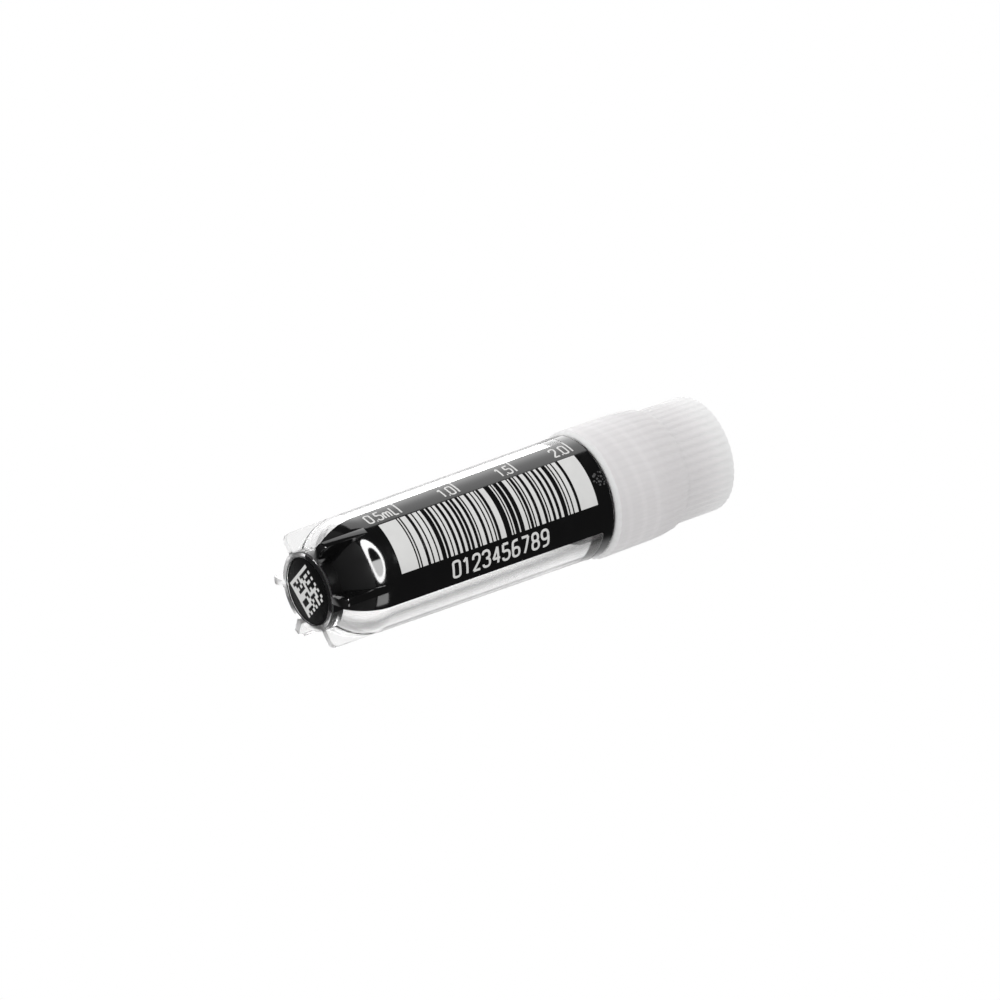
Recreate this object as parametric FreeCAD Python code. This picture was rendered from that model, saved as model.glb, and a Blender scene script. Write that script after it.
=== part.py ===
import FreeCAD, Part
import math
import os

from FreeCAD import Vector

# A screw-cap cryogenic vial, standing on its star foot. Millimetres, +Z up the axis, z = 0 at the foot.

# Tube body
tube_height = 45.18
body_diameter = 12.5          # at the shoulder, where the body is widest
body_draft = 0.0092           # radius lost for each millimetre down from the shoulder
bore_diameter = 9.5
bore_end_height = 6.3         # centre of the bore's round end
shoulder_height = 32.6
dome_centre_height = 5.75
shoulder_chamfer = 0.22
lip_chamfer = 0.14

# Star foot
fin_count = 6                 # even, so that the fins stand in opposite pairs
fin_thickness = 0.73
fin_corner_round = 0.7
fin_set_back = 0.02           # the fins' edges lie this far inside the body's own surface
foot_ring_diameter = 8.1
foot_ring_chamfer = 0.12
disc_diameter = 6.74
disc_thickness = 0.9
disc_recess = 0.1

# Neck and its two-start right-hand thread
neck_wall = 0.5
thread_starts = 2
thread_pitch = 1.75           # between neighbouring crests
thread_height = 0.42
thread_crest_width = 0.46
thread_flank_widening = 0.30  # the root is wider than the crest by this on each side
thread_bury = 0.12            # how far a ridge is set into its wall
thread_turns = 1.2            # of each start, on the neck and in the cap
neck_thread_rise = 2.0        # from the shoulder to the middle of the lower thread ends
cap_thread_rise = 1.25        # from the cap's rim to the same

# Screw cap
rim_gap = 0.15                # the shoulder to the cap's rim
skirt_wall = 0.66             # behind the grooves, at the rim
skirt_taper = 0.06            # radius lost up the straight part of the skirt
crown_wall = 0.41             # behind the grooves of the narrow upper part
shoulder_start = 6.45         # these three are heights above the rim
shoulder_knee = 8.9
shoulder_end = 9.5
shoulder_drop = 0.26          # radius lost between the straight skirt and the knee
shoulder_sections = 3         # from the start to the knee, along an easing curve
rib_count = 44
rib_depth = 0.12
rib_crest_share = 0.36        # of the pitch
rim_chamfer = 0.4
top_round = 0.3
lead_in = 0.2
recess_diameter = 9.0
recess_depth = 1.3
ceiling_thickness = 1.12

# Seal and fits
seal_thickness = 0.5
seal_width = 0.95
thread_clearance = 0.15       # radial, on crests and roots alike
disc_clearance = 0.03
seal_clearance = 0.05

# Worked out from the dimensions above
body_radius = body_diameter / 2
bore_radius = bore_diameter / 2
neck_radius = bore_radius + neck_wall
thread_lead = thread_pitch * thread_starts
cap_base = shoulder_height + rim_gap
neck_thread_low = shoulder_height + neck_thread_rise
cap_thread_low = cap_base + cap_thread_rise
seal_top = tube_height + seal_thickness
cap_top = seal_top + ceiling_thickness + recess_depth
neck_crest_radius = neck_radius + thread_height
cap_crest_radius = neck_radius + thread_clearance
cap_root_radius = neck_crest_radius + thread_clearance
skirt_radius = cap_root_radius + skirt_wall + rib_depth
crown_radius = cap_crest_radius + crown_wall + rib_depth
ring_radius = foot_ring_diameter / 2
disc_radius = disc_diameter / 2
socket_radius = disc_radius + disc_clearance
disc_top = disc_recess + disc_thickness


def body_radius_at(z):
    return body_radius - body_draft * (shoulder_height - z)


def point(radius, z):
    return Vector(radius, 0, z)


def line(start, end):
    return Part.LineSegment(point(*start), point(*end)).toShape()


def arc_about(centre, radius, first_deg, last_deg):
    points = []
    for angle_deg in (first_deg, (first_deg + last_deg) / 2, last_deg):
        angle = math.radians(angle_deg)
        points.append(point(centre[0] + radius * math.cos(angle), centre[1] + radius * math.sin(angle)))
    return Part.Arc(*points).toShape()


def revolve(edges):
    face = Part.Face(Part.Wire(Part.__sortEdges__(edges)))
    return face.revolve(Vector(0, 0, 0), Vector(0, 0, 1), 360)


def polyline(corners):
    return [line(start, end) for start, end in zip(corners, corners[1:])]


def tube_shell():
    # Round-bottomed body, ring under the dome, shoulder and plain neck, open at the mouth.
    dome = body_radius_at(dome_centre_height)
    ring_top = dome_centre_height - math.sqrt(dome ** 2 - ring_radius ** 2)
    ring_angle = math.degrees(math.asin((ring_top - dome_centre_height) / dome))
    shoulder_low = shoulder_height - shoulder_chamfer
    shoulder_rim = body_radius_at(shoulder_low)
    foot = polyline([
        (0, disc_top), (socket_radius, disc_top), (socket_radius, 0), (ring_radius - foot_ring_chamfer, 0),
        (ring_radius, foot_ring_chamfer), (ring_radius, ring_top),
    ])
    outer_dome = arc_about((0, dome_centre_height), dome, ring_angle, 0)
    drafted_side = line((dome, dome_centre_height), (shoulder_rim, shoulder_low)).toNurbs().Edges
    neck = polyline([
        (shoulder_rim, shoulder_low), (shoulder_rim - shoulder_chamfer, shoulder_height),
        (neck_radius, shoulder_height), (neck_radius, tube_height - lip_chamfer),
        (neck_radius - lip_chamfer, tube_height), (bore_radius, tube_height), (bore_radius, bore_end_height),
    ])
    inner_dome = arc_about((0, bore_end_height), bore_radius, 0, -90)
    floor = line((0, bore_end_height - bore_radius), (0, disc_top))
    return revolve(foot + [outer_dome] + drafted_side + neck + [inner_dome, floor])


def star_fins():
    # One annular envelope follows the body's draft outside and the middle of the wall inside.
    # Crossing plates cut it into opposite pairs of fins.
    top = body_radius_at(dome_centre_height) - fin_set_back
    middle = (top + bore_radius) / 2
    inner = (ring_radius + socket_radius) / 2
    inner_top = dome_centre_height - math.sqrt(middle ** 2 - inner ** 2)
    inner_angle = math.degrees(math.asin((inner_top - dome_centre_height) / middle))
    corner = body_radius_at(fin_corner_round) - fin_set_back
    envelope = revolve([
        line((inner, 0), (corner - fin_corner_round, 0)),
        arc_about((corner - fin_corner_round, fin_corner_round), fin_corner_round, -90, 0),
        line((corner, fin_corner_round), (top, dome_centre_height)),
        line((top, dome_centre_height), (middle, dome_centre_height)),
        arc_about((0, dome_centre_height), middle, 0, inner_angle),
        line((inner, inner_top), (inner, 0)),
    ])
    plates = []
    for index in range(fin_count // 2):
        plate = Part.makeBox(2 * body_diameter, fin_thickness, 2 * dome_centre_height,
                             Vector(-body_diameter, -fin_thickness / 2, -dome_centre_height / 2))
        plate.rotate(Vector(0, 0, 0), Vector(0, 0, 1), index * 360 / fin_count)
        plates.append(plate)
    return envelope.common(plates[0].fuse(plates[1:]))


def thread_ridge(root_radius, crest_radius, low, phase_deg):
    # A trapezoid carried up a helix, set a little into the wall that it grows from.
    outward = math.copysign(1, crest_radius - root_radius)
    buried = root_radius - outward * thread_bury
    half_crest = thread_crest_width / 2
    half_base = half_crest + thread_flank_widening * (thread_height + thread_bury) / thread_height
    section = Part.Wire(polyline([
        (buried, -half_base), (crest_radius, -half_crest), (crest_radius, half_crest),
        (buried, half_base), (buried, -half_base),
    ]))
    spine = Part.Wire(Part.makeHelix(thread_lead, thread_lead * thread_turns, root_radius).Edges)
    sweep = Part.BRepOffsetAPI.MakePipeShell(spine)
    sweep.setBiNormalMode(Vector(0, 0, 1))
    sweep.add(section)
    sweep.build()
    sweep.makeSolid()
    ridge = sweep.shape()
    ridge.rotate(Vector(0, 0, 0), Vector(0, 0, 1), phase_deg)
    ridge.translate(Vector(0, 0, low))
    return ridge


def thread(root_radius, crest_radius, low, phase_deg):
    spacing = 360 / thread_starts
    return [
        thread_ridge(root_radius, crest_radius, low, phase_deg + start * spacing)
        for start in range(thread_starts)
    ]


def tube():
    ridges = thread(neck_radius, neck_crest_radius, neck_thread_low, 0)
    return tube_shell().fuse([star_fins()] + ridges).removeSplitter()


def code_disc():
    return Part.makeCylinder(disc_radius, disc_thickness, Vector(0, 0, disc_recess))


def ribbed_outline(radius, z, depth):
    # Flat-topped ribs whose flanks meet in sharp grooves.
    step = 2 * math.pi / rib_count
    flank_share = (1 - rib_crest_share) / 2
    corners = []
    for index in range(rib_count):
        for share, reach in ((0, radius - depth), (flank_share, radius), (1 - flank_share, radius)):
            angle = (index + share) * step
            corners.append(Vector(reach * math.cos(angle), reach * math.sin(angle), z))
    return Part.makePolygon(corners + corners[:1])


def cap_outside():
    # Ribbed sections from the rim, up the skirt, in over the shoulder and round the top edge.
    skirt_high = skirt_radius - skirt_taper
    sections = [
        (skirt_radius - rim_chamfer, cap_base, 0),
        (skirt_radius, cap_base + rim_chamfer, rib_depth / 2),
    ]
    for index in range(shoulder_sections):
        share = index / (shoulder_sections - 1)
        height = shoulder_start + (shoulder_knee - shoulder_start) * share
        sections.append((skirt_high - shoulder_drop * share ** 2, cap_base + height, rib_depth))
    half_round = top_round * (1 - math.sqrt(0.5))
    sections += [
        (crown_radius, cap_base + shoulder_end, rib_depth),
        (crown_radius, cap_top - top_round, rib_depth),
        (crown_radius - half_round, cap_top - half_round, rib_depth / 2),
        (crown_radius - top_round, cap_top, 0),
    ]
    wires = [ribbed_outline(*section) for section in sections]
    return Part.makeLoft(wires, True, True)


def cap_hollow():
    # Room for the thread in the skirt, and for the neck and the seal above it.
    mouth_radius = cap_root_radius + lead_in
    room_top = cap_base + shoulder_start
    step_top = room_top + cap_root_radius - cap_crest_radius
    return revolve(polyline([
        (0, cap_base), (mouth_radius, cap_base), (cap_root_radius, cap_base + lead_in),
        (cap_root_radius, room_top), (cap_crest_radius, step_top), (cap_crest_radius, seal_top),
        (0, seal_top), (0, cap_base),
    ]))


def cap():
    recess = Part.makeCylinder(recess_diameter / 2, recess_depth, Vector(0, 0, cap_top - recess_depth))
    half_pitch_deg = 180 / thread_starts
    rise_deg = 360 * (cap_thread_low - neck_thread_low) / thread_lead
    ridges = thread(cap_root_radius, cap_crest_radius, cap_thread_low, rise_deg + half_pitch_deg)
    return cap_outside().cut([cap_hollow(), recess]).fuse(ridges).removeSplitter()


def seal_ring():
    outer = cap_crest_radius - seal_clearance
    ring = Part.makeCylinder(outer, seal_thickness, Vector(0, 0, tube_height))
    hole = Part.makeCylinder(outer - seal_width, seal_thickness, Vector(0, 0, tube_height))
    return ring.cut(hole)


os.makedirs("parts", exist_ok=True)
for name, shape in {"tube": tube(), "code_disc": code_disc(), "cap": cap(), "seal_ring": seal_ring()}.items():
    shape.exportStep(os.path.join("parts", name + ".step"))
    print(name, len(shape.Solids), shape.isValid(), round(shape.Volume, 2), len(shape.Faces))
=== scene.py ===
import math
import random

import bpy
from mathutils import Matrix, Vector


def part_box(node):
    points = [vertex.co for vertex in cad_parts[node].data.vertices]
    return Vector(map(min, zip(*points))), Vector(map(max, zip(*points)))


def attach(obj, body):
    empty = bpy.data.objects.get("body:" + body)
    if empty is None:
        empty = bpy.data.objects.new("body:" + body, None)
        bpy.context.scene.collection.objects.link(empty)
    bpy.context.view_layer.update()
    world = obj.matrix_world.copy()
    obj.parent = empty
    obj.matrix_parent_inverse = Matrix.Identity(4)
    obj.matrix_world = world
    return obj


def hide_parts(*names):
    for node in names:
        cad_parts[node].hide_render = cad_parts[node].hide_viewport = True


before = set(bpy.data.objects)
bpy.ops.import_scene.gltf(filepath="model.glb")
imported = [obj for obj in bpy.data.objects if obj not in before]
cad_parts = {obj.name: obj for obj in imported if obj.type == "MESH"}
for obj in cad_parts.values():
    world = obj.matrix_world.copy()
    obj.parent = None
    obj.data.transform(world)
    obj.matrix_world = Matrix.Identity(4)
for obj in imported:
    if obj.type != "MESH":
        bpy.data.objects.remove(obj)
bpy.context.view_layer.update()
print("frame loaded:", sorted(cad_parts))

mm = 0.001
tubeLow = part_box("tube")[0]
capLow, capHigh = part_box("cap")
discLow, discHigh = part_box("code_disc")

# the vial's own form, as far as the print follows it
body = {
    "shoulderRadius": 6.25 * mm,
    "shoulderHeight": 32.6 * mm,
    "shoulderChamfer": 0.22 * mm,
    "draft": 0.0092,             # radius lost for each unit down from the shoulder
    "domeCentre": 5.75 * mm,
    "ringRadius": 4.05 * mm,
    "ringChamfer": 0.12 * mm,
    "socketRadius": 3.4 * mm,
    "finThickness": 0.73 * mm,
    "finCornerRound": 0.7 * mm,
    "finAzimuths": (-120, -60),  # the two fins that the ink covers
}
domeRadius = body["shoulderRadius"] - body["draft"] * (body["shoulderHeight"] - body["domeCentre"])
printRadius = 6.2 * mm           # flat print is laid out at this radius, then wrapped

making = {
    "roundSides": 96,            # of a full turn
    "ballRings": 64,
    "bendStep": 2.5,             # degrees between the cuts that let flat print bend round the vial
    "mergeWithin": 0.0005 * mm,
    "near": 0.01 * mm,           # a corner this close to a place is on it
    "smoothAngle": 35.0,
}


# small helpers for working as by hand

def deselectAll():
    bpy.ops.object.select_all(action="DESELECT")
    bpy.context.view_layer.objects.active = None


def activate(piece):
    deselectAll()
    piece.select_set(True)
    bpy.context.view_layer.objects.active = piece


def across(azimuth):
    return math.radians(azimuth) * printRadius


def applyPlace(piece):
    activate(piece)
    bpy.ops.object.transform_apply(location=True, rotation=True, scale=True)


def slab(name, low, high):
    # a plain slab between two corners, its place in its mesh
    deselectAll()
    bpy.ops.mesh.primitive_cube_add(size=1, location=(Vector(low) + Vector(high)) / 2)
    piece = bpy.context.object
    piece.name = name
    piece.data.name = name
    piece.scale = Vector(high) - Vector(low)
    applyPlace(piece)
    return piece


def joinPieces(pieces, name):
    activate(pieces[0])
    for piece in pieces:
        piece.select_set(True)
    if len(pieces) > 1:
        bpy.ops.object.join()
    joined = bpy.context.object
    joined.name = name
    joined.data.name = name
    return joined

def copyPiece(piece):
    # a copy with its own mesh
    double = piece.copy()
    double.data = piece.data.copy()
    bpy.context.scene.collection.objects.link(double)
    return double


def cutAway(piece, cutter):
    activate(piece)
    cut = piece.modifiers.new("cut", "BOOLEAN")
    cut.object = cutter
    cut.operation = "DIFFERENCE"
    cut.solver = "EXACT"
    bpy.ops.object.modifier_apply(modifier=cut.name)
    bpy.data.objects.remove(cutter)


def selectWhere(piece, test):
    # selects the vertices that pass the test, and the edges and faces between them
    mesh = piece.data
    for vertex in mesh.vertices:
        vertex.select = test(vertex.co)
    for part in (*mesh.edges, *mesh.polygons):
        part.select = all(mesh.vertices[index].select for index in part.vertices)


def bevelWhere(piece, test, offset, segments):
    activate(piece)
    selectWhere(piece, test)
    bpy.ops.object.mode_set(mode="EDIT")
    bpy.ops.mesh.bevel(offset=offset, segments=segments)
    bpy.ops.object.mode_set(mode="OBJECT")


def cutAt(piece, axis, places):
    # straight cuts right through
    activate(piece)
    bpy.ops.object.mode_set(mode="EDIT")
    for place in places:
        bpy.ops.mesh.select_all(action="SELECT")
        bpy.ops.mesh.bisect(plane_co=Vector(axis) * place, plane_no=axis)
    bpy.ops.object.mode_set(mode="OBJECT")


def cutStrips(piece, axis, low, high, step):
    count = max(1, round((high - low) / step))
    cutAt(piece, axis, [low + (high - low) * index / count for index in range(1, count)])


def cutToBend(piece, low, high, step=making["bendStep"]):
    # strips across, so that a flat piece can follow the round side
    cutStrips(piece, (1, 0, 0), low, high, across(step))


def onBody(height, lift):
    # radius and height on the vial's side and round bottom, for a distance up from the foot
    centre = body["domeCentre"]
    past = height - (body["shoulderHeight"] - body["shoulderChamfer"])
    if past > 0:   # up and in over the shoulder's bevelled edge, which slopes at 45 degrees
        slope = math.sqrt(0.5)
        height -= past * (1 - slope) - lift * slope
        lift = lift * slope - past * slope
    if height >= centre:
        radius = body["shoulderRadius"] - body["draft"] * (body["shoulderHeight"] - height)
        return radius + lift, height
    turn = (centre - height) / domeRadius
    return (domeRadius + lift) * math.cos(turn), centre - (domeRadius + lift) * math.sin(turn)


def onRing(height, lift):
    return body["ringRadius"] + lift, height


def onFoot(radius, lift):
    return radius, -lift


def onSocket(height, lift):
    return body["socketRadius"] + lift, height


def wrap(piece, onSurface):
    # lays a flat piece on the vial: across becomes azimuth, up becomes height, thickness becomes lift
    for vertex in piece.data.vertices:
        flat = vertex.co
        radius, height = onSurface(flat.y, flat.z)
        azimuth = flat.x / printRadius
        vertex.co = (radius * math.cos(azimuth), radius * math.sin(azimuth), height)
    piece.data.update()


def outwardNormals(piece):
    activate(piece)
    bpy.ops.object.mode_set(mode="EDIT")
    bpy.ops.mesh.select_all(action="SELECT")
    bpy.ops.mesh.remove_doubles(threshold=making["mergeWithin"])
    bpy.ops.mesh.normals_make_consistent(inside=False)
    bpy.ops.object.mode_set(mode="OBJECT")


def finishPiece(piece, bodyName, material):
    activate(piece)
    bpy.ops.object.shade_smooth_by_angle(angle=math.radians(making["smoothAngle"]))
    piece.data.materials.clear()
    piece.data.materials.append(material)
    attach(piece, bodyName)


# materials

def newGroup(name, inputs, outputs):
    group = bpy.data.node_groups.new(name, "ShaderNodeTree")
    for label, kind, value in inputs:
        socket = group.interface.new_socket(name=label, in_out="INPUT", socket_type=kind)
        socket.default_value = value
    for label, kind in outputs:
        group.interface.new_socket(name=label, in_out="OUTPUT", socket_type=kind)
    return group, group.nodes.new("NodeGroupInput"), group.nodes.new("NodeGroupOutput")


def feed(tree, socket, value):
    # a socket takes another node's output or a plain value
    if isinstance(value, bpy.types.NodeSocket):
        tree.links.new(value, socket)
    else:
        socket.default_value = value


def mathNode(tree, operation, first, second=None, clamp=False):
    node = tree.nodes.new("ShaderNodeMath")
    node.operation = operation
    node.use_clamp = clamp
    feed(tree, node.inputs[0], first)
    if second is not None:
        feed(tree, node.inputs[1], second)
    return node.outputs[0]


def vectorNode(tree, operation, first, second=None):
    node = tree.nodes.new("ShaderNodeVectorMath")
    node.operation = operation
    feed(tree, node.inputs[0], first)
    if second is not None:
        feed(tree, node.inputs["Scale" if operation == "SCALE" else 1], second)
    return node.outputs["Value" if operation in ("LENGTH", "DOT_PRODUCT") else "Vector"]


def rangeNode(tree, value, fromLow, fromHigh, toLow, toHigh, smooth=False):
    node = tree.nodes.new("ShaderNodeMapRange")
    node.interpolation_type = "SMOOTHSTEP" if smooth else "LINEAR"
    feed(tree, node.inputs["Value"], value)
    for label, end in (("From Min", fromLow), ("From Max", fromHigh), ("To Min", toLow), ("To Max", toHigh)):
        feed(tree, node.inputs[label], end)
    return node.outputs["Result"]


def fadeIn(tree, value, span, full=1.0):
    # from nothing where the span begins to full where it ends
    return rangeNode(tree, value, *span, 0.0, full, True)


def fadeOut(tree, value, span, full=1.0):
    return rangeNode(tree, value, *span, full, 0.0, True)


def mixNode(tree, factor, first, second):
    node = tree.nodes.new("ShaderNodeMix")
    for label, value in (("Factor", factor), ("A", first), ("B", second)):
        feed(tree, node.inputs[label], value)
    return node.outputs["Result"]


def noiseNode(tree, place, scale, detail):
    node = tree.nodes.new("ShaderNodeTexNoise")
    feed(tree, node.inputs["Vector"], place)
    feed(tree, node.inputs["Scale"], scale)
    node.inputs["Detail"].default_value = detail
    return node.outputs["Fac"]


def splitNode(tree, vector):
    node = tree.nodes.new("ShaderNodeSeparateXYZ")
    tree.links.new(vector, node.inputs[0])
    return node.outputs


def levelPart(tree, place):
    # a place without its height, as a line out from the vial's axis
    return vectorNode(tree, "MULTIPLY", place, (1, 1, 0))


def offWhole(tree, value):
    # how far a value is from the nearest whole number, for masks that repeat
    return mathNode(tree, "PINGPONG", mathNode(tree, "FRACT", value), 0.5)


wearLook = {
    "patchDetail": 3,
    "grainDetail": 2,
    "rubbedSpan": (0.52, 0.72),  # of the patches' strength, from a rubbed place's edge to its middle
    "grainDepth": 0.02 * mm,
}


def makeSurfaceWear():
    # soft mottling, a fine moulded grain and a few rubbed patches, for every plastic here
    tree, given, result = newGroup(
        "surfaceWear",
        [("Tint", "NodeSocketColor", (1, 1, 1, 1)), ("Mottle", "NodeSocketFloat", 0.03),
         ("Roughness", "NodeSocketFloat", 0.3), ("Rubbed", "NodeSocketFloat", 0.08),
         ("Patch Scale", "NodeSocketFloat", 350.0), ("Grain Scale", "NodeSocketFloat", 9000.0),
         ("Grain", "NodeSocketFloat", 0.05)],
        [("Color", "NodeSocketColor"), ("Roughness", "NodeSocketFloat"), ("Normal", "NodeSocketVector")],
    )
    place = tree.nodes.new("ShaderNodeTexCoord").outputs["Object"]
    patches = noiseNode(tree, place, given.outputs["Patch Scale"], wearLook["patchDetail"])
    grain = noiseNode(tree, place, given.outputs["Grain Scale"], wearLook["grainDetail"])
    shade = mathNode(tree, "SUBTRACT", patches, 0.5)
    shade = mathNode(tree, "MULTIPLY", shade, given.outputs["Mottle"])
    shade = mathNode(tree, "ADD", shade, 1.0)
    tree.links.new(vectorNode(tree, "SCALE", given.outputs["Tint"], shade), result.inputs["Color"])
    rubbed = fadeIn(tree, patches, wearLook["rubbedSpan"])
    rubbed = mathNode(tree, "MULTIPLY", rubbed, given.outputs["Rubbed"])
    rough = mathNode(tree, "ADD", given.outputs["Roughness"], rubbed, True)
    tree.links.new(rough, result.inputs["Roughness"])
    bump = tree.nodes.new("ShaderNodeBump")
    bump.inputs["Distance"].default_value = wearLook["grainDepth"]
    tree.links.new(grain, bump.inputs["Height"])
    tree.links.new(given.outputs["Grain"], bump.inputs["Strength"])
    tree.links.new(bump.outputs["Normal"], result.inputs["Normal"])
    return tree


surfaceWear = makeSurfaceWear()


def newMaterial(name, wear, shader):
    material = bpy.data.materials.new(name)
    material.use_nodes = True
    tree = material.node_tree
    principled = tree.nodes["Principled BSDF"]
    for label, value in shader.items():
        principled.inputs[label].default_value = value
    worn = tree.nodes.new("ShaderNodeGroup")
    worn.name = "wear"
    worn.node_tree = surfaceWear
    for label, value in wear.items():
        worn.inputs[label].default_value = value
    tree.links.new(worn.outputs["Color"], principled.inputs["Base Color"])
    tree.links.new(worn.outputs["Roughness"], principled.inputs["Roughness"])
    tree.links.new(worn.outputs["Normal"], principled.inputs["Normal"])
    return material


clearLook = {
    "roughness": 0.06,
    "footRoughness": 0.9,        # the fins' lower edges are matt, and the ring's a little
    "ringRoughness": 0.35,
    "ringBlend": 0.1 * mm,       # past the ring, where one becomes the other
    "footSpan": (0.0, 0.9 * mm),  # heights over which the matt finish fades
    "downSpan": (-0.8, -0.2),    # it is only on faces that look down, straight down being -1
}


def makeClearPlastic():
    material = newMaterial(
        "clearPlastic",
        {"Tint": (0.953, 0.95, 0.95, 1), "Mottle": 0.02, "Rubbed": 0.05, "Patch Scale": 260.0,
         "Grain Scale": 2500.0, "Grain": 0.02},
        {"Transmission Weight": 0.96, "IOR": 1.49},
    )
    tree = material.node_tree
    coordinates = tree.nodes.new("ShaderNodeTexCoord").outputs
    low = fadeOut(tree, splitNode(tree, coordinates["Object"])["Z"], clearLook["footSpan"])
    down = fadeOut(tree, splitNode(tree, coordinates["Normal"])["Z"], clearLook["downSpan"])
    matt = mathNode(tree, "MULTIPLY", low, down)
    radius = vectorNode(tree, "LENGTH", levelPart(tree, coordinates["Object"]))
    most = rangeNode(tree, radius, body["ringRadius"], body["ringRadius"] + clearLook["ringBlend"],
                     clearLook["ringRoughness"], clearLook["footRoughness"])
    matt = rangeNode(tree, matt, 0.0, 1.0, clearLook["roughness"], most)
    tree.links.new(matt, tree.nodes["wear"].inputs["Roughness"])
    return material


clearPlastic = makeClearPlastic()
glossInk = newMaterial(
    "glossInk",
    {"Tint": (0.004, 0.004, 0.0042, 1), "Mottle": 0.5, "Roughness": 0.07, "Rubbed": 0.05,
     "Patch Scale": 420.0, "Grain Scale": 6000.0, "Grain": 0.04},
    {"IOR": 1.46},
)
discPlastic = newMaterial(
    "discPlastic",
    {"Tint": (0.004, 0.004, 0.0042, 1), "Mottle": 0.5, "Roughness": 0.26, "Rubbed": 0.12,
     "Patch Scale": 600.0, "Grain Scale": 9000.0, "Grain": 0.12},
    {"IOR": 1.48, "Specular IOR Level": 0.15},
)
whiteInk = newMaterial(
    "whiteInk",
    {"Tint": (0.77, 0.77, 0.76, 1), "Mottle": 0.10, "Roughness": 0.38, "Rubbed": 0.1,
     "Patch Scale": 900.0, "Grain Scale": 12000.0, "Grain": 0.12},
    {"IOR": 1.45, "Specular IOR Level": 0.15},
)
markInk = newMaterial(
    "markInk",
    {"Tint": (0.034, 0.034, 0.035, 1), "Mottle": 1.6, "Roughness": 0.4, "Rubbed": 0.1,
     "Patch Scale": 2400.0, "Grain Scale": 12000.0, "Grain": 0.12},
    {"IOR": 1.45, "Specular IOR Level": 0.15},
)
silicone = newMaterial(
    "silicone",
    {"Tint": (0.86, 0.86, 0.84, 1), "Mottle": 0.06, "Roughness": 0.5, "Rubbed": 0.1,
     "Patch Scale": 700.0, "Grain Scale": 7000.0, "Grain": 0.15},
    {"IOR": 1.41, "Subsurface Weight": 0.4, "Subsurface Scale": 0.4 * mm, "Subsurface Radius": (1, 1, 1)},
)

capLook = {
    "tint": (0.785, 0.77, 0.775),
    "ribSoftness": 0.85,         # light spreads in the wall, so ribs and shoulder shade less than their form
    "softSpan": (0.60, 0.85),    # the cosines to a plain round side between which this sets in
    # painted light and painted shade: shares by which the tint is lighter where the wall is thinner, and
    # darker where it is thicker
    "threadPaintedLight": 0.042,
    "groovePaintedLight": 0.08,
    "rimPaintedLight": 0.30,
    "topPaintedLight": 0.22,
    "shoulderPaintedShade": -0.035,
    # the heights over which each of these sets in or dies out
    "threadIn": (capLow.z + 0.3 * mm, capLow.z + 0.8 * mm),
    "threadOut": (capLow.z + 6.0 * mm, capLow.z + 6.8 * mm),
    "ribsIn": (capLow.z, capLow.z + 3.5 * mm),
    "lineOut": (capLow.z + 0.25 * mm, capLow.z + 0.5 * mm),
    "topIn": (capHigh.z - 5.5 * mm, capHigh.z),
    "shoulderIn": (capLow.z + 5.2 * mm, capLow.z + 6.8 * mm),
    "shoulderOut": (capLow.z + 8.8 * mm, capLow.z + 9.5 * mm),
    "outsideIn": (5.4 * mm, 5.75 * mm),  # radii, since the grooves' tint stays off the recess and ceiling
    "ribsAtRim": 0.1,            # the share of the grooves' tint that is left at the rim
    "threadPitch": 1.75 * mm,
    "threadStarts": 2,
    "threadPhase": capLow.z + 0.35 * mm,
    "threadHalf": (0.06, 0.26),  # shares of the pitch, from a turn's full middle to its faded side
    "ribCount": 44,
    "flankShare": 0.32,          # of a rib's pitch, from a groove's bottom to the edge of its tint
}


def makeSoftRibs():
    # on the cap's side, turns the shading normal part of the way to the one of a plain round side
    tree, given, result = newGroup(
        "softRibs",
        [("Normal", "NodeSocketVector", (0, 0, 1)), ("Softness", "NodeSocketFloat", 0.5)],
        [("Normal", "NodeSocketVector")],
    )
    turned = tree.nodes.new("ShaderNodeVectorTransform")
    turned.vector_type = "NORMAL"
    turned.convert_from = "OBJECT"
    turned.convert_to = "WORLD"
    tree.links.new(levelPart(tree, tree.nodes.new("ShaderNodeTexCoord").outputs["Object"]), turned.inputs[0])
    plain = vectorNode(tree, "NORMALIZE", turned.outputs["Vector"])
    facing = vectorNode(tree, "DOT_PRODUCT", tree.nodes.new("ShaderNodeNewGeometry").outputs["Normal"], plain)
    share = fadeIn(tree, facing, capLook["softSpan"])
    share = mathNode(tree, "MULTIPLY", share, given.outputs["Softness"])
    mixed = tree.nodes.new("ShaderNodeMix")
    mixed.data_type = "VECTOR"
    tree.links.new(share, mixed.inputs["Factor"])
    tree.links.new(given.outputs["Normal"], mixed.inputs[4])   # the sockets of the vector kind
    tree.links.new(plain, mixed.inputs[5])
    tree.links.new(vectorNode(tree, "NORMALIZE", mixed.outputs[1]), result.inputs["Normal"])
    return tree


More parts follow.
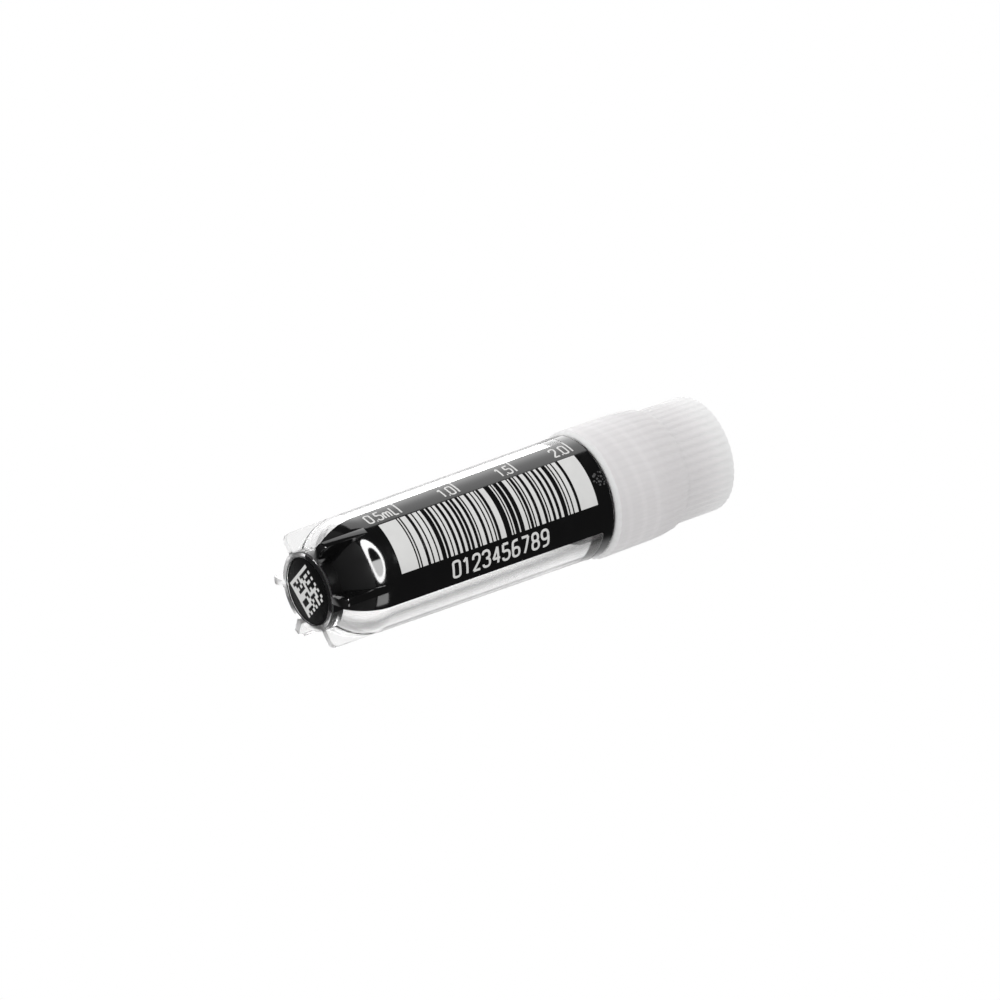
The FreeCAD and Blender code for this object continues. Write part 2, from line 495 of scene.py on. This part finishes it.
def makeCapPlastic():
    material = newMaterial(
        "capPlastic",
        {"Mottle": 0.03, "Roughness": 0.46, "Rubbed": 0.12, "Patch Scale": 300.0,
         "Grain Scale": 5200.0, "Grain": 0.08},
        {"IOR": 1.5, "Subsurface Weight": 1.0, "Subsurface Scale": 0.6 * mm, "Subsurface Radius": (1, 1, 1),
         "Specular IOR Level": 0.08},
    )
    tree = material.node_tree
    worn = tree.nodes["wear"]
    place = tree.nodes.new("ShaderNodeTexCoord").outputs["Object"]
    parts = splitNode(tree, place)
    height = parts["Z"]
    turn = mathNode(tree, "ARCTAN2", parts["Y"], parts["X"])
    turn = mathNode(tree, "DIVIDE", turn, 2 * math.pi)
    # painted light: the thread inside shows through the skirt as faint lighter turns, painted into the tint
    climb = mathNode(tree, "SUBTRACT", height, capLook["threadPhase"])
    climb = mathNode(tree, "DIVIDE", climb, capLook["threadPitch"])
    starts = mathNode(tree, "MULTIPLY", turn, capLook["threadStarts"])
    band = offWhole(tree, mathNode(tree, "SUBTRACT", climb, starts))
    band = fadeOut(tree, band, capLook["threadHalf"], capLook["threadPaintedLight"])
    band = mathNode(tree, "MULTIPLY", band, fadeIn(tree, height, capLook["threadIn"]))
    band = mathNode(tree, "MULTIPLY", band, fadeOut(tree, height, capLook["threadOut"]))
    # painted light: the tint is lighter in the grooves, in a line along the rim and towards the top edge,
    # where the wall is thinner and more light comes through
    groove = offWhole(tree, mathNode(tree, "MULTIPLY", turn, capLook["ribCount"]))
    groove = fadeOut(tree, groove, (0.0, capLook["flankShare"]), capLook["groovePaintedLight"])
    ribs = rangeNode(tree, height, *capLook["ribsIn"], capLook["ribsAtRim"], 1.0, True)
    groove = mathNode(tree, "MULTIPLY", groove, ribs)
    radius = vectorNode(tree, "LENGTH", levelPart(tree, place))
    groove = mathNode(tree, "MULTIPLY", groove, fadeIn(tree, radius, capLook["outsideIn"]))
    line = fadeOut(tree, height, capLook["lineOut"], capLook["rimPaintedLight"])
    top = fadeIn(tree, height, capLook["topIn"], capLook["topPaintedLight"])
    # painted shade: the tint is darker at the shoulder, where the wall is thicker
    shoulderShade = fadeIn(tree, height, capLook["shoulderIn"], capLook["shoulderPaintedShade"])
    shoulderShade = mathNode(tree, "MULTIPLY", shoulderShade, fadeOut(tree, height, capLook["shoulderOut"]))
    # the tint's level, with the painted light and painted shade added in
    level = mathNode(tree, "ADD", band, 1.0)
    for lift in (groove, line, top, shoulderShade):
        level = mathNode(tree, "ADD", level, lift)
    tree.links.new(vectorNode(tree, "SCALE", capLook["tint"], level), worn.inputs["Tint"])
    soft = tree.nodes.new("ShaderNodeGroup")
    soft.node_tree = makeSoftRibs()
    soft.inputs["Softness"].default_value = capLook["ribSoftness"]
    tree.links.new(worn.outputs["Normal"], soft.inputs["Normal"])
    tree.links.new(soft.outputs["Normal"], tree.nodes["Principled BSDF"].inputs["Normal"])
    return material


finishes = {"tube": clearPlastic, "cap": makeCapPlastic(), "seal_ring": silicone}
for nodeName, material in finishes.items():
    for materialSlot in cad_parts[nodeName].material_slots:
        materialSlot.material = material
print("materials made")


# the black marking field, and the clear window it leaves

ink = {
    "fieldFrom": -143.0,         # degrees round the axis
    "fieldTo": -40.3,
    "bandLow": 31.27 * mm,
    "top": 32.65 * mm,           # over the shoulder's bevelled edge
    "pastRing": 0.04 * mm,       # how far the field reaches below the ring's top
    "windowCorner": 0.3 * mm,
    "cornerSteps": 5,
    "domeStep": 0.25 * mm,       # between the cuts over the round bottom, which go on a little past it
    "pastDome": 0.5 * mm,
    "under": 0.03 * mm,          # bonded, so it reaches a little into the plastic and lets no air in
    "over": 0.014 * mm,
    "footFrom": 3.46 * mm,       # radius of the ring's foot that the ink covers, short of the bevel
    "footTo": 3.92 * mm,
    "socketStep": 5.0,           # degrees between the cuts round the socket
    "finEdgeRound": 0.05 * mm,
    "finEdgeSteps": 2,
    "finEdgeAngle": 50.0,        # edges sharper than this are rounded
    "finCornerSteps": 8,
    "finBuried": 0.3 * mm,       # how far the fin starts inside the ring, before the ring is cut from it
    "finTop": 5.5 * mm,
    "finBonded": 0.02 * mm,      # how far it reaches into the round bottom and the ring
    "cutterDepth": 20 * mm,      # of the cylinder that cuts the ring from it
}
ringTop = body["domeCentre"] - math.sqrt(domeRadius ** 2 - body["ringRadius"] ** 2)
# the field's lower edge, as a distance along the round bottom
inkFoot = body["domeCentre"] - domeRadius * math.acos(body["ringRadius"] / domeRadius) - ink["pastRing"]


def makeField():
    middle = (ink["fieldFrom"] + ink["fieldTo"]) / 2
    left, right = across(middle - 180), across(middle + 180)
    beyond = mm   # how far the cutters reach past what they cut
    field = slab("inkField", (left, inkFoot, -ink["under"]), (right, ink["top"], ink["over"]))
    # the window runs round the back: two cutters, one each side of the field, each with a rounded corner
    for near, far in ((across(ink["fieldFrom"]), left - beyond), (across(ink["fieldTo"]), right + beyond)):
        low, high = sorted((near, far))
        window = slab("window", (low, inkFoot - beyond, -beyond), (high, ink["bandLow"], beyond))
        edge = ink["bandLow"] - making["near"]
        bevelWhere(window, lambda co: abs(co.x - near) < making["near"] and co.y > edge,
                   ink["windowCorner"], ink["cornerSteps"])
        cutAway(field, window)
    cutToBend(field, left, right)
    cutStrips(field, (0, 1, 0), inkFoot, body["domeCentre"] + ink["pastDome"], ink["domeStep"])
    cutAt(field, (0, 1, 0), [body["shoulderHeight"] - body["shoulderChamfer"]])
    wrap(field, onBody)
    outwardNormals(field)
    finishPiece(field, "vial", glossInk)


def makeRingInk():
    low, high = across(ink["fieldFrom"]), across(ink["fieldTo"])
    ring = slab("inkRing", (low, body["ringChamfer"], -ink["under"]), (high, ringTop, ink["over"]))
    cutToBend(ring, low, high)
    wrap(ring, onRing)
    foot = slab("inkFoot", (low, ink["footFrom"], -ink["under"]), (high, ink["footTo"], ink["over"]))
    cutToBend(foot, low, high)
    wrap(foot, onFoot)
    halfTurn = across(180)
    socket = slab("inkSocket", (-halfTurn, 0.0, -ink["over"]), (halfTurn, discLow.z, ink["under"]))
    cutToBend(socket, -halfTurn, halfTurn, ink["socketStep"])
    wrap(socket, onSocket)
    ring = joinPieces([ring, foot, socket], "inkRing")
    outwardNormals(ring)
    finishPiece(ring, "vial", glossInk)


def makeFinInk():
    # one inked fin is made, then copied to its other place
    reach = ink["over"]
    half = body["finThickness"] / 2 + reach
    fin = slab("inkFin", (body["ringRadius"] - ink["finBuried"], -half, -reach),
               (domeRadius + reach, half, ink["finTop"]))
    bevelWhere(fin, lambda co: co.x > body["ringRadius"] and co.z < 0,
               body["finCornerRound"], ink["finCornerSteps"])
    deselectAll()
    bpy.ops.mesh.primitive_uv_sphere_add(
        segments=making["roundSides"], ring_count=making["ballRings"],
        radius=domeRadius - ink["finBonded"], location=(0, 0, body["domeCentre"]))
    dome = bpy.context.object
    applyPlace(dome)
    cutAway(fin, dome)
    deselectAll()
    bpy.ops.mesh.primitive_cylinder_add(
        vertices=making["roundSides"], radius=body["ringRadius"] - ink["finBonded"],
        depth=ink["cutterDepth"])
    ring = bpy.context.object
    applyPlace(ring)
    cutAway(fin, ring)
    outwardNormals(fin)
    activate(fin)
    edges = fin.modifiers.new("edges", "BEVEL")
    edges.width = ink["finEdgeRound"]
    edges.segments = ink["finEdgeSteps"]
    edges.limit_method = "ANGLE"
    edges.angle_limit = math.radians(ink["finEdgeAngle"])
    bpy.ops.object.modifier_apply(modifier=edges.name)
    fins = [fin, copyPiece(fin)]
    for piece, azimuth in zip(fins, body["finAzimuths"]):
        piece.data.transform(Matrix.Rotation(math.radians(azimuth), 4, "Z"))
    fin = joinPieces(fins, "inkFins")
    outwardNormals(fin)
    finishPiece(fin, "vial", glossInk)


makeField()
makeRingInk()
makeFinInk()
print("black field made")


# white print: bars, graduations, number line

bars = {
    "low": 7.03 * mm,
    "high": 30.72 * mm,
    "from": -120.4,              # azimuths
    "to": -68.8,
    "endBlock": 2.05 * mm,
    "seed": 11,
    "symbols": 11,
    "runs": 6,                   # of each symbol, black and white by turns
    "modules": 11,               # of each symbol, shared out among its runs
    "longestRun": 4,             # in modules
    "lastGap": 2,                # modules left black before the far end block
    "spread": 0.008 * mm,        # the black runs spread a little over the white
    "lift": 0.016 * mm,
    "thickness": 0.012 * mm,
}


def makeBars():
    # solid end blocks, and seeded runs between them that say nothing
    chance = random.Random(bars["seed"])
    low, high = across(bars["from"]), across(bars["to"])
    codeLow, codeHigh = bars["low"] + bars["endBlock"], bars["high"] - bars["endBlock"]
    module = (codeHigh - codeLow) / (bars["modules"] * bars["symbols"] + bars["lastGap"])
    spans = [(bars["low"], codeLow), (codeHigh, bars["high"])]
    height = codeLow
    for symbol in range(bars["symbols"]):
        runs = [1] * bars["runs"]
        for extra in range(bars["modules"] - bars["runs"]):
            runs[chance.choice([index for index, run in enumerate(runs) if run < bars["longestRun"]])] += 1
        for black, white in zip(runs[::2], runs[1::2]):
            spans.append((height + module * black + bars["spread"],
                          height + module * (black + white) - bars["spread"]))
            height += module * (black + white)
    plates = []
    for start, end in spans:
        plates.append(slab("bar", (low, start, bars["lift"]), (high, end, bars["lift"] + bars["thickness"])))
    code = joinPieces(plates, "barPrint")
    cutToBend(code, low, high)
    wrap(code, onBody)
    finishPiece(code, "vial", whiteInk)


# each character as pen strokes in a box one high: closed loops, soft curves and straight lines
strokeShapes = {
    "0": [("loop", [(0, 0), (.5, 0), (.5, .3), (.5, .7), (.5, 1), (0, 1), (0, .7), (0, .3)])],
    "1": [("line", [(.05, .8), (.28, 1)]), ("line", [(.28, 1), (.28, 0)])],
    "2": [("soft", [(0, .72), (0, 1), (.5, 1), (.5, .62), (.25, .33), (0, 0)]),
          ("line", [(0, 0), (.5, 0)])],
    "3": [("soft", [(0, .8), (0, 1), (.5, 1), (.5, .53), (.2, .53)]),
          ("soft", [(.2, .53), (.5, .53), (.5, 0), (0, 0), (0, .2)])],
    "4": [("line", [(.38, 0), (.38, 1)]), ("line", [(.38, 1), (0, .3)]), ("line", [(0, .3), (.52, .3)])],
    "5": [("line", [(.46, 1), (.05, 1)]), ("line", [(.05, 1), (.02, .55)]),
          ("soft", [(.02, .55), (.5, .68), (.5, 0), (0, 0), (0, .2)])],
    "6": [("loop", [(0, 0), (.5, 0), (.5, .56), (0, .56)]),
          ("soft", [(0, .28), (0, .8), (.12, 1), (.44, 1)])],
    "7": [("line", [(0, 1), (.5, 1)]), ("line", [(.5, 1), (.16, 0)])],
    "8": [("loop", [(0, 0), (.5, 0), (.5, .53), (0, .53)]),
          ("loop", [(.03, .53), (.47, .53), (.47, 1), (.03, 1)])],
    "9": [("loop", [(0, .44), (.5, .44), (.5, 1), (0, 1)]),
          ("soft", [(.5, .72), (.5, .2), (.38, 0), (.06, 0)])],
    ".": [("line", [(.06, 0), (.16, 0)])],
    "m": [("line", [(0, 0), (0, .6)]), ("soft", [(0, .4), (.02, .64), (.3, .64), (.3, .3), (.3, 0)]),
          ("soft", [(.3, .4), (.32, .64), (.6, .64), (.6, .3), (.6, 0)])],
    "L": [("line", [(0, 1), (0, 0)]), ("line", [(0, 0), (.36, 0)])],
}
pen = {
    "roundSteps": 2,
    "curveSteps": 5,
    "flattenTo": 0.1,            # of the stroke's own thickness
}
numberLine = {
    "text": "0123456789",
    "bottom": -47.9,             # azimuth that the characters stand on; their tops point the other way round
    "start": 12.95 * mm,
    "height": 1.66 * mm,
    "pitch": 1.185 * mm,
    "widthShare": 0.94,
    "widths": {},                # shares of the pitch for characters that are narrow or wide
    "stroke": 0.26 * mm,
    "lift": 0.018 * mm,
}
labels = {
    # text, where it starts, and the height of its tick
    "marks": (("0.5mL", 6.45 * mm, 10.23 * mm), ("1.0", 15.2 * mm, 17.22 * mm),
              ("1.5", 22.18 * mm, 24.19 * mm), ("2.0", 28.87 * mm, 31.05 * mm)),
    "bottom": -125.4,
    "height": 1.3 * mm,
    "pitch": 0.81 * mm,
    "widthShare": 0.91,
    "widths": {".": 0.42, "m": 1.3, "1": 0.86},
    "stroke": 0.18 * mm,
    "lift": 0.018 * mm,
    "tickFrom": -142.4,
    "tickTo": -125.4,
    "tickWidth": 0.18 * mm,
    "tickThickness": 0.02 * mm,
}


def writeStrokes(name, text, start, look):
    # every character of a line of text as splines of one curve, then a flat mesh
    deselectAll()
    bpy.ops.curve.primitive_nurbs_path_add()
    path = bpy.context.object
    path.name = name
    path.data.splines.clear()
    path.data.dimensions = "3D"
    path.data.bevel_depth = look["stroke"] / 2
    path.data.bevel_resolution = pen["roundSteps"]
    path.data.use_fill_caps = True
    foot = across(look["bottom"])
    advance = start
    for character in text:
        for kind, points in strokeShapes[character]:
            spline = path.data.splines.new("NURBS")
            spline.points.add(len(points) - 1)
            for index, (right, up) in enumerate(points):
                side = advance + right * look["height"] * look["widthShare"]
                spline.points[index].co = (foot - up * look["height"], side, 0, 1)
            spline.order_u = 2 if kind == "line" else 3
            spline.use_cyclic_u = kind == "loop"
            spline.use_endpoint_u = kind != "loop"
            spline.resolution_u = pen["curveSteps"]
        advance += look["pitch"] * look["widths"].get(character, 1.0)
    activate(path)
    bpy.ops.object.convert(target="MESH")
    words = bpy.context.object
    words.name = name
    words.data.name = name
    for vertex in words.data.vertices:   # flattened to the thickness of a print
        vertex.co.z = look["lift"] + vertex.co.z * pen["flattenTo"]
    return words


def makeNumberLine():
    words = writeStrokes("numberPrint", numberLine["text"], numberLine["start"], numberLine)
    wrap(words, onBody)
    outwardNormals(words)
    finishPiece(words, "vial", whiteInk)


def makeGraduations():
    pieces = []
    for text, start, height in labels["marks"]:
        pieces.append(writeStrokes("label", text, start, labels))
        low, high = across(labels["tickFrom"]), across(labels["tickTo"])
        half, rise = labels["tickWidth"] / 2, labels["tickThickness"] / 2
        tick = slab("tick", (low, height - half, labels["lift"] - rise),
                    (high, height + half, labels["lift"] + rise))
        cutToBend(tick, low, high)
        pieces.append(tick)
    words = joinPieces(pieces, "graduationPrint")
    wrap(words, onBody)
    outwardNormals(words)
    finishPiece(words, "vial", whiteInk)


shoulderMark = {
    "azimuth": -90.4,
    "height": 31.87 * mm,
    "radius": 0.74 * mm,
    "seed": 3,
    "specks": 17,
    "speck": 0.12 * mm,
    "sides": 12,                 # of each speck, a flattened ball
    "rings": 6,
    "thickness": 0.008 * mm,
    "lift": 0.016 * mm,
    # a speck's size, its length for its width, and how far out it stands, all as shares
    "sizes": (0.6, 1.2),
    "stretches": (0.7, 1.3),
    "outer": (0.75, 1.0),
    "inner": 0.4,
    "innerEach": 3,              # one speck in so many stands inside
}


def makeShoulderMark():
    # a faint round of specks, one made and the rest copied
    chance = random.Random(shoulderMark["seed"])
    deselectAll()
    bpy.ops.mesh.primitive_uv_sphere_add(
        segments=shoulderMark["sides"], ring_count=shoulderMark["rings"], radius=1)
    ball = bpy.context.object
    specks = []
    for index in range(shoulderMark["specks"]):
        turn = 2 * math.pi * index / shoulderMark["specks"]
        size = shoulderMark["speck"] * chance.uniform(*shoulderMark["sizes"])
        if index % shoulderMark["innerEach"] == 0:
            out = shoulderMark["inner"]
        else:
            out = chance.uniform(*shoulderMark["outer"])
        reach = shoulderMark["radius"] * out
        speck = copyPiece(ball)
        speck.location = (across(shoulderMark["azimuth"]) + reach * math.cos(turn),
                          shoulderMark["height"] + reach * math.sin(turn), shoulderMark["lift"])
        speck.scale = (size, size * chance.uniform(*shoulderMark["stretches"]), shoulderMark["thickness"])
        applyPlace(speck)
        specks.append(speck)
    bpy.data.objects.remove(ball)
    mark = joinPieces(specks, "shoulderMark")
    wrap(mark, onBody)
    outwardNormals(mark)
    finishPiece(mark, "vial", markInk)


makeBars()
makeNumberLine()
makeGraduations()
makeShoulderMark()
print("white print made")


# the foot disc and the square code on it

footDisc = {
    "set": 0.06 * mm,            # moulded in, so its rim is bonded a little way into the foot ring
    "slopeWidth": 0.33 * mm,     # its edge slopes back into the foot ring
    "slopeDepth": 0.06 * mm,
}


def makeFootDisc():
    deselectAll()
    radius = discHigh.x + footDisc["set"]
    bpy.ops.mesh.primitive_cylinder_add(
        vertices=making["roundSides"], radius=radius, depth=discHigh.z - discLow.z,
        location=(0, 0, (discLow.z + discHigh.z) / 2))
    disc = bpy.context.object
    disc.name = "footDisc"
    disc.data.name = "footDisc"
    applyPlace(disc)
    selectWhere(disc, lambda co: co.z < discLow.z + making["near"])
    bpy.ops.object.mode_set(mode="EDIT")
    bpy.ops.mesh.inset(thickness=footDisc["slopeWidth"])
    bpy.ops.object.mode_set(mode="OBJECT")
    selectWhere(disc, lambda co: co.z < discLow.z + making["near"] and co.xy.length > radius - making["near"])
    bpy.ops.object.mode_set(mode="EDIT")
    bpy.ops.transform.translate(value=(0, 0, footDisc["slopeDepth"]))
    bpy.ops.object.mode_set(mode="OBJECT")
    finishPiece(disc, "vial", discPlastic)
    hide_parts("code_disc")


makeFootDisc()

squareCode = {
    "cells": 12,
    "side": 3.95 * mm,
    "centre": (-0.07 * mm, 0.15 * mm),
    "turn": -10.0,
    "seed": 5,
    "filledShare": 0.45,
    "thickness": 0.015 * mm,
}


def makeSquareCode():
    # two solid edges, two stepped edges, and seeded cells that say nothing
    chance = random.Random(squareCode["seed"])
    count = squareCode["cells"]
    size = squareCode["side"] / count
    plates = []
    for row in range(count):
        for column in range(count):
            if column == 0 or row == count - 1:
                filled = True
            elif row == 0:
                filled = column % 2 == 0
            elif column == count - 1:
                filled = row % 2 == 1
            else:
                filled = chance.random() < squareCode["filledShare"]
            if filled:
                x = (column - count / 2) * size
                y = (row - count / 2) * size
                plates.append(slab("cell", (x, y, discLow.z - squareCode["thickness"]),
                                   (x + size, y + size, discLow.z + squareCode["thickness"])))
    code = joinPieces(plates, "squareCodePrint")
    code.data.transform(Matrix.Rotation(math.radians(squareCode["turn"]), 4, "Z"))
    code.data.transform(Matrix.Translation((*squareCode["centre"], 0)))
    finishPiece(code, "vial", whiteInk)


makeSquareCode()
print("square code made")


# floor, light, camera

stageLook = {
    "floorSize": 3.0,
    "floorHeight": -0.05 * mm,
    "floorColour": (0.86, 0.86, 0.86, 1),
    "floorRoughness": 0.7,
    "floorThin": 0.7,            # how much of what gloss and clear plastic show misses the floor
    "around": 0.79,              # the light from all round, and how much more comes from one side
    "aroundSlope": 0.14,
    "lightFrom": (-0.99, -0.134, 0.05),
    # the pale backdrop that gloss and clear plastic see: its middle, the cosines from there where it begins
    # and where it is full, and the levels beside it and on it
    "inGloss": {"towards": (-0.11, 0.81, 0.575), "begins": 0.35, "full": 0.62, "beside": 0.07, "on": 1.0},
    "inClear": {"towards": (-0.39, 0.74, 0.545), "begins": 0.52, "full": 0.86, "beside": 0.5, "on": 1.0},
}


def makeFloor():
    # seen from above it is a plain pale floor; from below it lets the view and the light through
    deselectAll()
    bpy.ops.mesh.primitive_plane_add(size=stageLook["floorSize"], location=(0, 0, stageLook["floorHeight"]))
    floor = bpy.context.object
    floor.name = "floor"
    material = bpy.data.materials.new("paleFloor")
    material.use_nodes = True
    tree = material.node_tree
    principled = tree.nodes["Principled BSDF"]
    principled.inputs["Base Color"].default_value = stageLook["floorColour"]
    principled.inputs["Roughness"].default_value = stageLook["floorRoughness"]
    path = tree.nodes.new("ShaderNodeLightPath")
    geometry = tree.nodes.new("ShaderNodeNewGeometry")
    through = mathNode(tree, "ADD", path.outputs["Is Shadow Ray"], geometry.outputs["Backfacing"], True)
    through = mathNode(tree, "ADD", through, path.outputs["Is Diffuse Ray"], True)
    for ray in ("Is Glossy Ray", "Is Transmission Ray"):
        thin = mathNode(tree, "MULTIPLY", path.outputs[ray], stageLook["floorThin"])
        through = mathNode(tree, "ADD", through, thin, True)
    clear = tree.nodes.new("ShaderNodeBsdfTransparent")
    mixed = tree.nodes.new("ShaderNodeMixShader")
    tree.links.new(through, mixed.inputs[0])
    tree.links.new(principled.outputs[0], mixed.inputs[1])
    tree.links.new(clear.outputs[0], mixed.inputs[2])
    tree.links.new(mixed.outputs[0], tree.nodes["Material Output"].inputs["Surface"])
    floor.data.materials.append(material)


def makeWorld():
    world = bpy.data.worlds.new("studio")
    bpy.context.scene.world = world
    world.use_nodes = True
    tree = world.node_tree
    background = tree.nodes["Background"]
    path = tree.nodes.new("ShaderNodeLightPath")
    direction = tree.nodes.new("ShaderNodeTexCoord").outputs["Generated"]
    level = vectorNode(tree, "DOT_PRODUCT", direction, stageLook["lightFrom"])
    level = mathNode(tree, "MULTIPLY", level, stageLook["aroundSlope"])
    level = mathNode(tree, "ADD", level, stageLook["around"])
    for ray, seen in (("Is Glossy Ray", stageLook["inGloss"]), ("Is Transmission Ray", stageLook["inClear"])):
        facing = vectorNode(tree, "DOT_PRODUCT", direction, seen["towards"])
        backdrop = rangeNode(tree, facing, seen["begins"], seen["full"], seen["beside"], seen["on"], True)
        level = mixNode(tree, path.outputs[ray], level, backdrop)
    level = mixNode(tree, path.outputs["Is Camera Ray"], level, 1.0)
    tree.links.new(level, background.inputs["Strength"])
    background.inputs["Color"].default_value = (1, 1, 1, 1)


# angles and distance from the middle of the vial, and a radiance that a lamp keeps when its size changes
lamps = {
    "keyBox": {"azimuth": -172, "elevation": 3, "distance": 0.60, "size": (0.45, 0.45), "radiance": 0.4},
    "sideCard": {"azimuth": -195, "elevation": 38, "distance": 0.40, "size": (0.46, 0.40), "radiance": 2.2},
    "highCard": {"azimuth": -96, "elevation": 11, "distance": 0.40, "size": (0.70, 0.20), "radiance": 22.0},
    "lowCard": {"azimuth": -23, "elevation": 10, "distance": 0.40, "size": (0.135, 0.14), "radiance": 4.5},
}


def addLamp(name):
    look = lamps[name]
    turn, rise = math.radians(look["azimuth"]), math.radians(look["elevation"])
    towards = Vector((math.cos(rise) * math.cos(turn), math.cos(rise) * math.sin(turn), math.sin(rise)))
    light = bpy.data.lights.new(name, "AREA")
    light.shape = "RECTANGLE"
    width, height = look["size"]
    light.size, light.size_y = width, height
    light.energy = look["radiance"] * math.pi * width * height
    lamp = bpy.data.objects.new(name, light)
    bpy.context.scene.collection.objects.link(lamp)
    lamp.location = (tubeLow + capHigh) / 2 + towards * look["distance"]
    lamp.rotation_mode = "QUATERNION"
    lamp.rotation_quaternion = towards.to_track_quat("Z", "Y")
    lamp.visible_camera = False
    return lamp


ovalCard = {
    "centre": (0.10, 0.0),       # of the opening, as shares of the half sizes
    "half": (0.60, 0.72),
    "rimFrom": 0.85,             # where the opening's soft rim begins
    "split": 0.04,               # the opening is dark on one side of this and dim on the other
    "splitSoft": 0.01,
    "dim": 0.5,
}


def openOval(lamp):
    # an oval card with an oval opening, part dark and part dim
    lamp.data.shape = "ELLIPSE"
    lamp.data.use_nodes = True
    tree = lamp.data.node_tree
    parts = splitNode(tree, tree.nodes.new("ShaderNodeNewGeometry").outputs["Parametric"])
    squares = []
    for axis, centre, half in zip("XY", ovalCard["centre"], ovalCard["half"]):
        reach = rangeNode(tree, parts[axis], 0.0, 1.0, (-1 - centre) / half, (1 - centre) / half)
        squares.append(mathNode(tree, "MULTIPLY", reach, reach))
    card = fadeIn(tree, mathNode(tree, "ADD", *squares), (ovalCard["rimFrom"], 1.0))
    share, soft = 0.5 + ovalCard["split"] / 2, ovalCard["splitSoft"]
    inside = fadeIn(tree, parts["X"], (share - soft, share + soft), ovalCard["dim"])
    level = mathNode(tree, "MAXIMUM", card, inside)
    tree.links.new(level, tree.nodes["Emission"].inputs["Strength"])


def makeLights():
    # one soft key that lights without being seen, then three white cards that gloss and clear plastic show
    key = addLamp("keyBox")
    key.visible_glossy = False
    key.visible_transmission = False
    for name in ("sideCard", "highCard", "lowCard"):
        card = addLamp(name)
        card.visible_diffuse = False
        if name == "highCard":
            openOval(card)


cameraLook = {
    "azimuth": -82.3,
    "below": 33.0,               # degrees under the foot's plane
    "roll": 19.4341,
    "distance": 0.600,
    "lens": 222.19,
    "sensor": 36.0,
    "clip": (0.01, 10.0),
    "target": (0, 0, 21.3 * mm),
    "aimRight": 1.525 * mm,
    "aimUp": 2.81 * mm,
}


def makeCamera():
    turn = math.radians(cameraLook["azimuth"])
    drop = math.radians(cameraLook["below"])
    roll = math.radians(cameraLook["roll"])
    back = Vector((math.cos(drop) * math.cos(turn), math.cos(drop) * math.sin(turn), -math.sin(drop)))
    side = Vector((-math.sin(turn), math.cos(turn), 0))
    rise = back.cross(side)
    right = math.cos(roll) * rise + math.sin(roll) * side
    up = -math.cos(roll) * side + math.sin(roll) * rise
    aim = Vector(cameraLook["target"]) + right * cameraLook["aimRight"] + up * cameraLook["aimUp"]
    place = aim + back * cameraLook["distance"]
    camera = bpy.data.objects.new("camera", bpy.data.cameras.new("camera"))
    bpy.context.scene.collection.objects.link(camera)
    camera.data.sensor_width = cameraLook["sensor"]
    camera.data.lens = cameraLook["lens"]
    camera.matrix_world = Matrix((
        (right.x, up.x, back.x, place.x),
        (right.y, up.y, back.y, place.y),
        (right.z, up.z, back.z, place.z),
        (0, 0, 0, 1),
    ))
    camera.data.clip_start, camera.data.clip_end = cameraLook["clip"]
    bpy.context.scene.camera = camera


makeFloor()
makeWorld()
makeLights()
makeCamera()
bpy.context.scene.view_settings.view_transform = "Standard"
print("stage, light and camera set")
